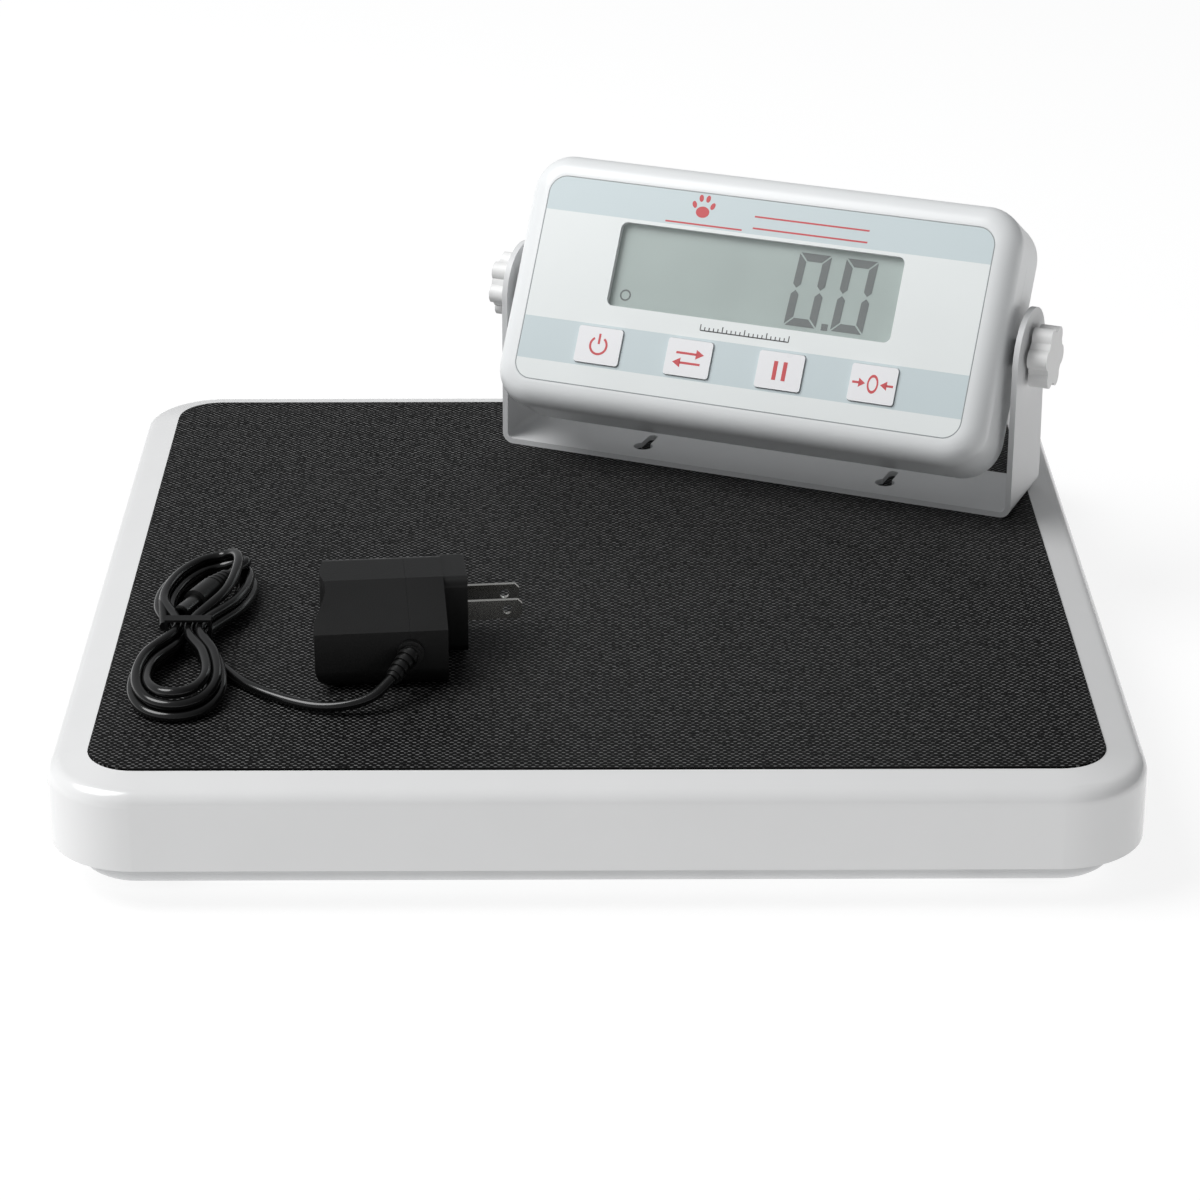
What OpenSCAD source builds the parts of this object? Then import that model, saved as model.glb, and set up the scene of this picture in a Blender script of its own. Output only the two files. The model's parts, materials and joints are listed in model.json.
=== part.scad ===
// Platform scale for weighing animals. A low square deck with a ribbed mat
// stands on a tray with four load cells. A tilting indicator in a steel
// bracket and a plug-in power adapter with its coiled lead stand on the mat.
// Frame: X to the right, Y to the back, Z up, origin on the floor under the
// middle of the platform. Sizes are in millimetres.

/* [Platform] */
// outside width and depth of the square deck
deck_w = 336; // [326:1:346]
// height of the mat's top above the floor
deck_top = 42; // [41:0.5:44]
// corner radius of the deck, seen from above
deck_corner_r = 28; // [24:1:32]
// width of the raised white rim round the mat
rim_w = 13; // [11:0.5:14]
// thickness of the mat
mat_t = 2.5; // [2:0.1:3]
// thickness of the moulded deck cover
cover_t = 3; // [2.5:0.1:3.5]
// height of the skirt's lower edge above the floor
skirt_z = 14; // [12:0.5:16]
// thickness of the steel plate under the deck cover
plate_t = 3; // [2:0.5:3.5]
// width and depth of the base tray
tray_w = 318; // [312:1:322]
// height of the tray's side wall above its underside
tray_wall = 19; // [16:1:20]
// thickness of the tray's sheet
tray_t = 2.5; // [2:0.1:3]
// diameter of a rubber foot
foot_d = 30; // [24:1:36]
// height of a rubber foot
foot_h = 5; // [4:0.5:6]

/* [Load cells] */
// length of one load cell beam
cell_l = 60; // [56:1:62]
// width of one load cell beam
cell_w = 20; // [16:1:24]
// thickness of one load cell beam
cell_t = 12; // [10:0.5:13]
// distance of each load point from the middle, both ways
load_at = 105; // [100:1:108]

/* [Bracket] */
// length of the U bracket between the outsides of its arms
bracket_l = 194; // [193:0.5:200]
// depth of the bracket's base, front to back
bracket_d = 36; // [34:0.5:40]
// thickness of the bracket's sheet steel
bracket_t = 2; // [1.5:0.1:2.2]
// height of the tilt axis above the bracket's underside
tilt_h = 55; // [54:0.5:60]
// turn of the bracket on the mat, right end towards the front
bracket_turn = 22.75; // [20:0.25:25]
// distance between the two keyholes
keyhole_pitch = 93; // [80:1:110]
// diameter of the keyholes' round ends
keyhole_d = 7; // [6:0.5:8]

/* [Indicator] */
// width of the indicator's housing
housing_w = 183; // [180:0.5:184]
// height of the housing along its face
housing_h = 92.5; // [90:0.5:94]
// depth of the housing from face to back
housing_d = 34; // [33:0.5:36]
// corner radius of the housing, seen from the front
housing_corner_r = 14; // [13:0.5:16]
// wall thickness of both housing shells
shell_t = 2.5; // [2:0.1:3]
// lean of the face back from upright at rest
face_lean = 30.4; // [25:0.1:35]
// width of the printed face label
label_w = 166.6; // [164:0.1:167]
// height of the printed face label
label_h = 74.8; // [73:0.1:75.5]
// width of the display window
window_w = 106; // [100:0.5:108]
// height of the display window
window_h = 30.6; // [28:0.2:32]
// width of one key cap
key_w = 16.8; // [15:0.1:18]
// height of one key cap
key_h = 13.2; // [12:0.1:14]
// distance between neighbouring keys
key_pitch = 34.2; // [32:0.1:35]

/* [Knobs] */
// largest diameter of a star knob
knob_d = 23; // [21:0.5:24]
// thickness of a star knob's head
knob_t = 7; // [6:0.5:8]
// diameter of a knob's threaded stud
stud_d = 6; // [5:0.5:6]

/* [Adapter] */
// length of the adapter's case along the plug's direction
case_l = 42; // [40:0.5:44]
// depth of the adapter's case
case_d = 46; // [44:0.5:48]
// height of the adapter's case
case_h = 28; // [27:0.5:30]
// length of the plug's blades beyond their block
blade_l = 17.8; // [16:0.1:18.5]
// diameter of the lead
lead_d = 3.5; // [3:0.1:3.8]
// diameter of the barrel plug's sleeve
barrel_d = 5.5; // [5.5:0.1:5.5]

/* [Hidden] */
$fn = 64;
mat_w = deck_w - 2 * rim_w;
mat_corner_r = deck_corner_r - rim_w;
mat_z = deck_top - mat_t;
cover_z = mat_z - cover_t;
plate_z = cover_z - plate_t;
edge_r = 5;
recess_gap = 0.3;
plate_w = mat_w - 10;
plate_corner_r = mat_corner_r - 5;
plate_screw_at = plate_w / 2 - 12;
tray_corner_r = 19;
tray_edge_r = 3;
tray_floor_z = foot_h + tray_t;
tray_floor_w = tray_w - 4;
foot_at = 132;
cell_z = 12;
cell_end = load_at - 12;
cell_screw_at = [cell_end + cell_l - 21, cell_end + cell_l - 7];
board_z = 12.5;
board_l = 70;
board_w = 45;
gland_z = 11.6;
gland_r = 4;
gland_bore_r = 2.2;
screw_r = 2;
screw_head_r = 3.6;

bracket_x = -33.1;
bracket_y = 113.6;
bend_r = 4;
arm_r = 17;
arm_at = 17.5;
axis_at = 18.5;
axle_hole_r = stud_d / 2 + 0.25;
side_gap = (bracket_l - housing_w) / 2 - bracket_t;
washer_r = 4.8;
washer_t = side_gap - 0.1;

front_r = 8;
back_r = 5;
part_line = 17;
axis_depth = 25;
label_t = 0.4;
label_corner_r = 6.5;
label_left = -label_w / 2;
label_top = label_h / 2;
window_x = label_left + 30 + window_w / 2;
window_y = label_top - 14 - window_h / 2;
first_key_x = label_left + 30.5;
key_y = label_top - 59.7;
key_raise = 0.8;
key_gap = 0.2;
key_flange_z = -shell_t - 1;
circuit_z = -9;
circuit_t = 1.6;
circuit_w = 160;
circuit_h = 70;
post_x = 75;
post_y = 31.5;
corner_post_x = housing_w / 2 - 9;
corner_post_y = housing_h / 2 - 8.5;
insert_r = 4;
insert_l = 10;
stud_in = 9;
jack_x = -45;
jack_y = -24;
jack_r = 4.5;
jack_bore_r = 2.75;
rear_gland_x = 45;
hub_t = 1.2;

adapter_x = -69.5;
adapter_y = -77.5;
adapter_turn = 5.5;
case_t = 2;
case_r = 7;
slope_y = 0.8;
slope_lean = 18.6;
heel_r = 8;
grip_in = 4.6;
seam_x = 9;
block_x = 28.7;
block_y = 11;
block_w = 22.8;
block_h = 26;
blade_y = 10.7;
blade_z = 14.3;
blade_pitch = 12.7;
blade_w = 6.35;
blade_t = 1.5;
relief_z = 13;
relief_l = 12;
relief_droop = 20;
relief_swing = 35;
lead_r = lead_d / 2;
lead_sides = 8;
lead_steps = 4;
plug_x = -130.5;
plug_y = -50.8;
plug_z = 8.6;
plug_turn = -23;
hank_x = -131;
tie_y = -69.5;

// the wave of the adapter's grip end seen from above, from back to front
grip_line = [[-15.2, 24], [-17.4, 14], [-18.2, 6.5], [-16.5, -2], [-18.4, -10.3], [-21, -18.5],
  [-22, -24]];

// the lead's loose stretch, point by point, heights above the mat
relief_end = [-63.8, -110.7, 8.9];
lead_route = [
  relief_end,
  [-70.5, -116.5, 5],
  [-82, -117.5, 2.6],
  [-94, -112.7, 1.85],
  [-109, -101, 1.8],
  [-118, -88, 1.8],
  [-123.5, -77, 1.8],
  [-126, -69.5, 2]
];

// ---------- shared shapes ----------

// flat plate with round corners, standing on z = 0, centred
module round_plate(w, d, h, r) {
  translate([-w / 2 + r, -d / 2, 0]) cube([w - 2 * r, d, h]);
  translate([-w / 2, -d / 2 + r, 0]) cube([w, d - 2 * r, h]);
  for (sx = [-1, 1], sy = [-1, 1])
    translate([sx * (w / 2 - r), sy * (d / 2 - r), 0]) cylinder(r = r, h = h);
}

// carries a section round a rectangle; the section's x starts at the corner centres
module around(w, d, r) {
  long = w - 2 * r;
  deep = d - 2 * r;
  for (side = [0 : 3]) {
    run = side % 2 == 0 ? deep : long;
    reach = side % 2 == 0 ? long : deep;
    rotate([0, 0, 90 * side]) {
      translate([reach / 2, run / 2, 0]) rotate_extrude(angle = 90) children();
      translate([reach / 2, run / 2, 0]) rotate([90, 0, 0]) linear_extrude(height = run) children();
    }
  }
}

// block from z = 0 down to z = -t with its top edge rounded
module soft_block(w, d, t, r, edge) {
  translate([-w / 2 + r, -d / 2 + r, -t]) cube([w - 2 * r, d - 2 * r, t]);
  around(w, d, r) {
    translate([0, -t]) square([r - edge, t]);
    translate([0, -t]) square([r, t - edge]);
    translate([r - edge, -edge]) intersection() {
      circle(r = edge);
      square([edge, edge]);
    }
  }
}

// copies something to the four corners of a rectangle
module at_corners(x, y) {
  for (sx = [-1, 1], sy = [-1, 1]) translate([sx * x, sy * y, 0]) children();
}

// stands a part in the bracket's own frame: X along it, Y to its back
module on_bracket() {
  translate([bracket_x, bracket_y, deck_top]) rotate([0, 0, -bracket_turn]) children();
}

// stands a part in the indicator's frame: origin in the middle of its face
module on_face() {
  on_bracket() translate([bracket_l / 2, axis_at, tilt_h]) rotate([90 - face_lean, 0, 0])
    translate([0, 0, axis_depth]) children();
}

// stands a part in the adapter's frame: middle of its case, on the mat
module on_adapter() {
  translate([adapter_x, adapter_y, deck_top]) rotate([0, 0, adapter_turn]) children();
}

// ---------- platform ----------

module base_tray() {
  color("Gainsboro") difference() {
    union() {
      translate([0, 0, foot_h]) around(tray_w, tray_w, tray_corner_r) tray_edge();
      translate([0, 0, foot_h]) round_plate(tray_floor_w, tray_floor_w, tray_t, tray_corner_r - 2);
      for (sx = [-1, 1], sy = [-1, 1])
        translate([sx * (cell_end + cell_l - 15), sy * load_at, (tray_floor_z + cell_z) / 2 - 0.25])
          cube([30, cell_w, cell_z - tray_floor_z + 0.5], center = true);
      at_corners(board_l / 2 - 5, board_w / 2 - 5) translate([0, 0, tray_floor_z - 0.5])
        cylinder(r = 3.5, h = board_z - tray_floor_z + 0.5);
    }
    for (sx = [-1, 1], sy = [-1, 1], x = cell_screw_at)
      translate([sx * x, sy * load_at, tray_floor_z - 1]) cylinder(r = screw_r + 0.05, h = cell_z);
    at_corners(foot_at, foot_at) translate([0, 0, foot_h - 1]) cylinder(r = 2.05, h = tray_t + 2);
    at_corners(board_l / 2 - 5, board_w / 2 - 5) translate([0, 0, board_z - 3.5])
      cylinder(r = 1.3, h = 5);
    translate([0, tray_w / 2 + 1, gland_z]) rotate([90, 0, 0])
      cylinder(r = 3.1, h = tray_t + 2);
  }
}

// section of the tray's upturned wall with its rounded foot
module tray_edge() {
  difference() {
    union() {
      translate([tray_corner_r - tray_edge_r, tray_edge_r]) circle(r = tray_edge_r);
      translate([tray_corner_r - tray_t, tray_edge_r]) square([tray_t, tray_wall - tray_edge_r]);
      translate([tray_corner_r - 6, 0]) square([3, tray_t]);
    }
    translate([tray_corner_r - 8, tray_t]) square([8 - tray_t, 8]);
  }
}

module feet() {
  color("Black") at_corners(foot_at, foot_at) difference() {
    cylinder(d = foot_d, h = foot_h);
    translate([0, 0, -1]) cylinder(r = 5.2, h = 3.5);
    cylinder(r = 2.2, h = foot_h + 1);
  }
}

// pan-headed screw, head down, its head's top face at z = 0
module pan_screw(shank_r, head_r, head_t, length) {
  translate([0, 0, -head_t]) difference() {
    cylinder(r = head_r, h = head_t);
    translate([0, 0, -0.1]) cylinder(r = head_r / 3, h = head_t / 2, $fn = 6);
  }
  cylinder(r = shank_r, h = length);
}

module foot_screws() {
  color("Silver") at_corners(foot_at, foot_at) translate([0, 0, 2.5]) pan_screw(2, 4.8, 2, 7);
}

module load_cells() {
  color("LightSteelBlue") for (sx = [-1, 1], sy = [-1, 1]) scale([sx, sy, 1])
    difference() {
      translate([cell_end, load_at - cell_w / 2, cell_z]) cube([cell_l, cell_w, cell_t]);
      for (x = [cell_end + 20, cell_end + 31]) translate([x, load_at, cell_z + cell_t / 2])
        rotate([90, 0, 0]) cylinder(r = 4, h = cell_w + 2, center = true);
      translate([cell_end + 20, load_at - cell_w, cell_z + cell_t / 2 - 1])
        cube([11, 2 * cell_w, 2]);
      for (x = cell_screw_at) translate([x, load_at, cell_z - 1])
        cylinder(r = screw_r + 0.05, h = cell_t + 2);
    }
}

module cell_screws() {
  color("Silver") for (sx = [-1, 1], sy = [-1, 1], x = cell_screw_at)
    translate([sx * x, sy * load_at, cell_z + cell_t]) rotate([180, 0, 0])
      pan_screw(screw_r, screw_head_r, 3, cell_t + 4);
}

module load_pads() {
  color("DimGray") at_corners(load_at, load_at) translate([0, 0, cell_z + cell_t])
    cylinder(r = 9, h = plate_z - cell_z - cell_t);
}

module summing_board() {
  color("DarkGreen") difference() {
    translate([0, 0, board_z]) round_plate(board_l, board_w, circuit_t, 2);
    at_corners(board_l / 2 - 5, board_w / 2 - 5) translate([0, 0, board_z - 1])
      cylinder(r = 1.6, h = circuit_t + 2);
  }
}

module summing_parts() {
  color("DimGray") {
    translate([-8, -6, board_z + circuit_t]) cube([16, 10, 2]);
    for (x = [-22, 16]) translate([x, 8, board_z + circuit_t]) cube([8, 10, 6]);
    for (x = [-20, 20]) translate([x, -14, board_z + circuit_t]) cylinder(r = 3, h = 6);
  }
}

module board_screws() {
  color("Silver") at_corners(board_l / 2 - 5, board_w / 2 - 5)
    translate([0, 0, board_z + circuit_t]) rotate([180, 0, 0]) pan_screw(1.25, 2.6, 1.6, 4.5);
}

// round cable gland lying along Y, its collar's back face at y = 0
module cable_gland(collar_r, neck_r, bore_r, collar_l, neck_l, nut_l) {
  difference() {
    union() {
      translate([0, collar_l, 0]) rotate([90, 0, 0]) cylinder(r = collar_r, h = collar_l);
      rotate([90, 0, 0]) cylinder(r = neck_r, h = neck_l + nut_l);
      translate([0, -neck_l, 0]) rotate([90, 0, 0]) cylinder(r = collar_r, h = nut_l);
    }
    translate([0, collar_l + 1, 0]) rotate([90, 0, 0])
      cylinder(r = bore_r, h = collar_l + neck_l + nut_l + 2);
  }
}

module tray_gland() {
  color("Black") translate([0, tray_w / 2 + 0.02, gland_z])
    cable_gland(gland_r - 0.1, 3, gland_bore_r, 5, tray_t + 0.04, 3);
}

// section of the deck cover's rim and skirt
module cover_edge() {
  inner = deck_corner_r - rim_w + recess_gap;
  flat = deck_corner_r - edge_r;
  difference() {
    union() {
      polygon([[inner, cover_z], [inner, deck_top - 0.5], [flat + 0.98, deck_top - 2.1],
        [flat + 0.98, cover_z]]);
      translate([flat, deck_top - 7]) circle(r = edge_r);
      translate([deck_corner_r - cover_t, skirt_z]) square([cover_t, deck_top - 7 - skirt_z]);
      translate([inner - 1, cover_z]) square([flat - inner + 2, cover_t]);
    }
    translate([flat - edge_r - 1, deck_top - 13])
      square([2 * edge_r + 1 - cover_t, cover_z - deck_top + 13]);
  }
}

module deck_cover() {
  color("White") difference() {
    union() {
      around(deck_w, deck_w, deck_corner_r) cover_edge();
      translate([0, 0, cover_z]) round_plate(mat_w + 1, mat_w + 1, cover_t, mat_corner_r);
    }
    deck_screw_places() translate([0, 0, cover_z - 1]) cylinder(r = 1.75, h = cover_t);
  }
}

// the eight places where the plate is screwed to the cover
module deck_screw_places() {
  at_corners(plate_screw_at, plate_screw_at) children();
  for (turn = [0 : 90 : 270]) rotate([0, 0, turn]) translate([plate_screw_at, 0, 0]) children();
}

module deck_plate() {
  color("Silver") difference() {
    translate([0, 0, plate_z]) round_plate(plate_w, plate_w, plate_t, plate_corner_r);
    deck_screw_places() translate([0, 0, plate_z - 1]) cylinder(r = 1.9, h = plate_t + 2);
  }
}

module deck_screws() {
  color("Gray") deck_screw_places() translate([0, 0, plate_z])
    pan_screw(1.7, screw_head_r, 2.2, plate_t + 1.8);
}

module mat() {
  color([0.09, 0.09, 0.1]) translate([0, 0, mat_z]) round_plate(mat_w, mat_w, mat_t, mat_corner_r);
}

// ---------- bracket ----------

// one keyhole, its round end at the origin and its slot towards the back
module keyhole() {
  translate([0, 0, -1]) cylinder(d = keyhole_d, h = bracket_t + 2);
  translate([-keyhole_d / 4, 0, -1]) cube([keyhole_d / 2, 10, bracket_t + 2]);
  translate([0, 10, -1]) cylinder(d = keyhole_d / 2, h = bracket_t + 2);
}

// the U of the bracket seen from the front
module bracket_section(inset, r) {
  for (x = [inset + r, bracket_l - inset - r]) translate([x, inset + r]) circle(r = r);
  translate([inset + r, inset]) square([bracket_l - 2 * inset - 2 * r, 2 * r]);
  translate([inset, inset + r]) square([bracket_l - 2 * inset, tilt_h + 30]);
}

module bracket() {
  color("WhiteSmoke") on_bracket() difference() {
    intersection() {
      translate([0, bracket_d, 0]) rotate([90, 0, 0]) linear_extrude(height = bracket_d)
        difference() {
          bracket_section(0, bend_r);
          bracket_section(bracket_t, bend_r - bracket_t);
        }
      rotate([90, 0, 90]) linear_extrude(height = bracket_l) {
        polygon([[0, 0], [bracket_d, 0], [bracket_d, 9], [arm_at + arm_r, tilt_h],
          [arm_at - arm_r, tilt_h]]);
        translate([arm_at, tilt_h]) circle(r = arm_r);
      }
    }
    for (side = [-1, 1]) translate([bracket_l / 2 + side * keyhole_pitch / 2 + 0.8, 11, 0])
      keyhole();
    translate([-1, axis_at, tilt_h]) rotate([0, 90, 0])
      cylinder(r = axle_hole_r, h = bracket_l + 2);
  }
}

// ---------- indicator ----------

// places of the four posts that join the two shells
module corner_posts() {
  at_corners(corner_post_x, corner_post_y) children();
}

// places of the four posts that carry the circuit board
module board_posts() {
  at_corners(post_x, post_y) children();
}

// a window-shaped cutter through the face
module window_cut(spare) {
  translate([window_x, window_y, -shell_t - 1])
    round_plate(window_w + spare, window_h + spare, shell_t + 2, 2.5);
}

// cutters for the four keys
module key_cuts(spare) {
  for (place = [0 : 3]) translate([first_key_x + place * key_pitch, key_y, -shell_t - 1])
    round_plate(key_w + spare, key_h + spare, shell_t + 2, 1.2);
}

module front_shell() {
  inner_w = housing_w - 2 * shell_t;
  inner_h = housing_h - 2 * shell_t;
  color("White") on_face() difference() {
    union() {
      difference() {
        soft_block(housing_w, housing_h, part_line, housing_corner_r, front_r);
        translate([0, 0, -shell_t])
          soft_block(inner_w, inner_h, part_line, housing_corner_r - shell_t, front_r - shell_t);
      }
      corner_posts() translate([0, 0, -part_line]) cylinder(r = 3.5, h = part_line - shell_t + 0.5);
      board_posts() translate([0, 0, circuit_z]) cylinder(r = 3, h = -circuit_z - shell_t + 0.5);
    }
    translate([0, 0, -label_t - 0.05])
      round_plate(label_w + 0.2, label_h + 0.2, 2, label_corner_r + 0.1);
    window_cut(0.2);
    key_cuts(2 * key_gap);
    corner_posts() translate([0, 0, -part_line - 1]) cylinder(r = 1.3, h = 11);
    board_posts() translate([0, 0, circuit_z - 1]) cylinder(r = 1.1, h = 6);
  }
}

module rear_shell() {
  deep = housing_d - part_line - 0.05;
  boss_in = insert_l + 2;
  color("White") on_face() difference() {
    union() {
      translate([0, 0, -housing_d]) rotate([180, 0, 0]) difference() {
        soft_block(housing_w, housing_h, deep, housing_corner_r, back_r);
        translate([0, 0, -shell_t]) soft_block(housing_w - 2 * shell_t,
          housing_h - 2 * shell_t, deep, housing_corner_r - shell_t, back_r - shell_t);
      }
      corner_posts() translate([0, 0, -housing_d + shell_t - 0.5])
        cylinder(r = 3.5, h = housing_d - part_line - shell_t + 0.45);
      for (side = [-1, 1]) translate([side * (housing_w / 2 - boss_in / 2 - 0.5), 0, -axis_depth])
        rotate([0, 90, 0]) cylinder(r = 6, h = boss_in, center = true);
    }
    corner_posts() {
      translate([0, 0, -housing_d - 1]) cylinder(r = 3, h = 4);
      translate([0, 0, -housing_d]) cylinder(r = 1.65, h = housing_d);
    }
    for (side = [-1, 1]) translate([side * (housing_w / 2 - insert_l / 2), 0, -axis_depth])
      rotate([0, 90, 0]) cylinder(r = insert_r, h = insert_l + 0.01, center = true);
    for (side = [-1, 1]) translate([side * (housing_w / 2 - 6), 0, -axis_depth])
      rotate([0, 90, 0]) cylinder(r = stud_d / 2 + 0.1, h = 16, center = true);
    translate([jack_x, jack_y, -housing_d - 1]) cylinder(r = jack_r, h = shell_t + 2);
    translate([rear_gland_x, jack_y, -housing_d - 1]) cylinder(r = 3.1, h = shell_t + 2);
  }
}

module shell_screws() {
  color("Silver") on_face() corner_posts() translate([0, 0, -housing_d + 3])
    pan_screw(1.25, 2.8, 1.8, 22);
}

module face_label() {
  color("LightSteelBlue") on_face() difference() {
    translate([0, 0, -label_t]) round_plate(label_w, label_h, label_t, label_corner_r);
    window_cut(0);
    key_cuts(2 * key_gap);
  }
}

module display_window() {
  color([0.8, 0.85, 0.85, 0.4]) on_face() translate([window_x, window_y, -shell_t - 0.1])
    round_plate(window_w - 0.1, window_h - 0.1, shell_t - 0.15, 2.5);
}

module display_panel() {
  color("DarkSeaGreen") on_face() translate([window_x, window_y, -6])
    round_plate(window_w + 7, window_h + 6, 3.3, 0.5);
}

module circuit_board() {
  color("DarkGreen") on_face() difference() {
    translate([0, 0, circuit_z - circuit_t]) round_plate(circuit_w, circuit_h, circuit_t, 2);
    board_posts() translate([0, 0, circuit_z - circuit_t - 1]) cylinder(r = 1.4, h = circuit_t + 2);
  }
}

module circuit_parts() {
  back = circuit_z - circuit_t;
  color("DimGray") on_face() {
    translate([-10, -5, back - 2]) cube([14, 14, 2]);
    translate([20, 8, back - 1.6]) cube([10, 6, 1.6]);
    translate([40, 10, back - 8]) cylinder(r = 6, h = 8);
    translate([-40, 14, back - 9]) cylinder(r = 4, h = 9);
    translate([-56, 10, back - 6]) cube([9, 6, 6]);
    translate([window_x - 48, window_y - 14, circuit_z]) cube([96, 28, -6 - circuit_z]);
  }
}

module circuit_screws() {
  color("Silver") on_face() board_posts() translate([0, 0, circuit_z - circuit_t])
    pan_screw(1.05, 2.3, 1.4, 5);
}

module key_switches() {
  color("Black") on_face() for (place = [0 : 3])
    translate([first_key_x + place * key_pitch, key_y, circuit_z]) difference() {
      translate([-3, -3, 0]) cube([6, 6, 3.8]);
      translate([0, 0, 0.8]) cylinder(r = 1.8, h = 4);
    }
}

module brass_inserts() {
  color("Gold") on_face() for (side = [-1, 1])
    translate([side * (housing_w / 2 - insert_l / 2 - 0.05), 0, -axis_depth])
      rotate([0, 90, 0]) difference() {
        cylinder(r = insert_r - 0.02, h = insert_l - 0.1, center = true);
        cylinder(r = stud_d / 2 + 0.05, h = insert_l + 1, center = true);
      }
}

module axle_washers() {
  color("Black") on_face() for (side = [-1, 1])
    translate([side * (housing_w / 2 + washer_t / 2), 0, -axis_depth]) rotate([0, 90, 0])
      difference() {
        cylinder(r = washer_r, h = washer_t, center = true);
        cylinder(r = stud_d / 2 + 0.1, h = washer_t + 1, center = true);
      }
}

module dc_jack() {
  color("Black") on_face() translate([jack_x, jack_y, -housing_d]) {
    difference() {
      union() {
        cylinder(r = jack_r - 0.05, h = shell_t + 0.1);
        translate([-5.5, -5.5, shell_t + 0.05]) cube([11, 11, 10]);
      }
      translate([0, 0, -1]) cylinder(r = jack_bore_r + 0.15, h = 10.5);
    }
    cylinder(r = 1, h = 11);
  }
}

module indicator_gland() {
  color("Black") on_face() translate([rear_gland_x, jack_y, -housing_d - 0.02])
    rotate([-90, 0, 0]) cable_gland(4.5, 3, gland_bore_r, 4, shell_t + 0.04, 3);
}

// one key: the cap, the flange that keeps it in and the stem behind it
module key(place) {
  color("White") on_face() translate([first_key_x + place * key_pitch, key_y, 0]) {
    translate([0, 0, key_flange_z]) round_plate(key_w, key_h, key_raise - key_flange_z, 1);
    translate([0, 0, key_flange_z]) round_plate(key_w + 1.6, key_h + 1.6, 0.9, 1);
    translate([0, 0, circuit_z + 1.6]) cylinder(r = 1.5, h = key_flange_z - circuit_z - 1.5);
  }
}

module power_key() {
  key(0);
}

module unit_key() {
  key(1);
}

module hold_key() {
  key(2);
}

module tare_key() {
  key(3);
}

// ---------- knobs ----------

// threaded stud pointing along +X from the arm's outer face into the insert
module stud() {
  out = hub_t + knob_t - 2;
  color("Silver") translate([-out, 0, 0]) rotate([0, 90, 0])
    cylinder(d = stud_d, h = out + bracket_t + side_gap + stud_in);
}

// star head with a hub towards the arm, axis along X, arm's outer face at x = 0
module star_knob() {
  lobe_r = 3.5;
  color("WhiteSmoke") rotate([0, -90, 0]) difference() {
    union() {
      translate([0, 0, 0.1]) cylinder(r = 6, h = hub_t + 0.5);
      translate([0, 0, hub_t]) {
        cylinder(r = knob_d / 2 - 2.4, h = knob_t);
        for (lobe = [0 : 5]) rotate([0, 0, 60 * lobe + 20]) translate([knob_d / 2 - lobe_r, 0, 0])
          cylinder(r = lobe_r, h = knob_t);
      }
    }
    translate([0, 0, -1]) cylinder(r = stud_d / 2 + 0.05, h = hub_t + knob_t - 0.95);
  }
}

// stands a knob part at the left arm, or at the right arm when side is 1
module at_arm(side) {
  on_bracket() translate([side == 1 ? bracket_l : 0, axis_at, tilt_h])
    rotate([0, 0, side == 1 ? 180 : 0]) children();
}

module left_stud() {
  at_arm(0) stud();
}

module left_knob() {
  at_arm(0) star_knob();
}

module right_stud() {
  at_arm(1) stud();
}

module right_knob() {
  at_arm(1) star_knob();
}

// ---------- adapter and lead ----------

// the adapter's body as a bar along X, its top flat at the back and sloping at the front
module case_bar(inset, from_x, to_x) {
  translate([from_x, 0, 0]) rotate([90, 0, 90]) linear_extrude(height = to_x - from_x)
    intersection() {
      union() {
        translate([0, case_h / 2]) {
          square([case_d - 2 * inset, case_h - 2 * case_r], center = true);
          square([case_d - 2 * case_r, case_h - 2 * inset], center = true);
          for (sx = [-1, 1], sy = [-1, 1])
            translate([sx * (case_d / 2 - case_r), sy * (case_h / 2 - case_r)])
              circle(r = case_r - inset);
        }
      }
      translate([slope_y, case_h]) rotate(slope_lean) translate([-case_d, -2 * case_h - inset])
        square([2 * case_d, 2 * case_h]);
    }
}

// what the grip end loses: a wave seen from above and a round heel underneath
module grip_wave() {
  translate([0, 0, -1]) linear_extrude(height = case_h + 2)
    polygon(concat([[-case_l, -24], [-case_l, 24]], smooth_route(grip_line, lead_steps)));
  translate([-case_l / 2, 0, 0]) difference() {
    translate([-1, -case_d / 2 - 1, -1]) cube([heel_r + 1, case_d + 2, heel_r + 1]);
    translate([heel_r, 0, heel_r]) rotate([90, 0, 0]) cylinder(r = heel_r, h = case_d + 4, center = true);
  }
}

module adapter_case() {
  color("Black") on_adapter() difference() {
    case_bar(0, -case_l / 2, seam_x);
    case_bar(case_t, -case_l / 2 + grip_in + case_t + 0.5, seam_x + 1);
    grip_wave();
    translate([seam_x, -case_d / 2 + 3, relief_z]) rotate([90, 0, 0]) cylinder(r = 2.9, h = 5);
  }
}

module adapter_face() {
  color("Black") on_adapter() difference() {
    union() {
      difference() {
        case_bar(0, seam_x + 0.05, case_l / 2);
        case_bar(case_t, seam_x - 1, case_l / 2 - case_t);
      }
      translate([case_l / 2 - 0.5, block_y, blade_z - block_h / 2]) rotate([90, 0, 90])
        round_block(block_x - case_l / 2 + 0.5);
    }
    for (side = [-1, 1]) translate([block_x / 2, blade_y + side * blade_pitch / 2, blade_z])
      cube([block_x + 1, blade_t + 0.04, blade_w + 0.04], center = true);
    translate([seam_x, -case_d / 2 + 3, relief_z]) rotate([90, 0, 0]) cylinder(r = 2.9, h = 5);
  }
}

// the block round the blades, standing on its lower edge
module round_block(length) {
  translate([0, block_h / 2, 0]) round_plate(block_w, block_h, length, 3);
}

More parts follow.
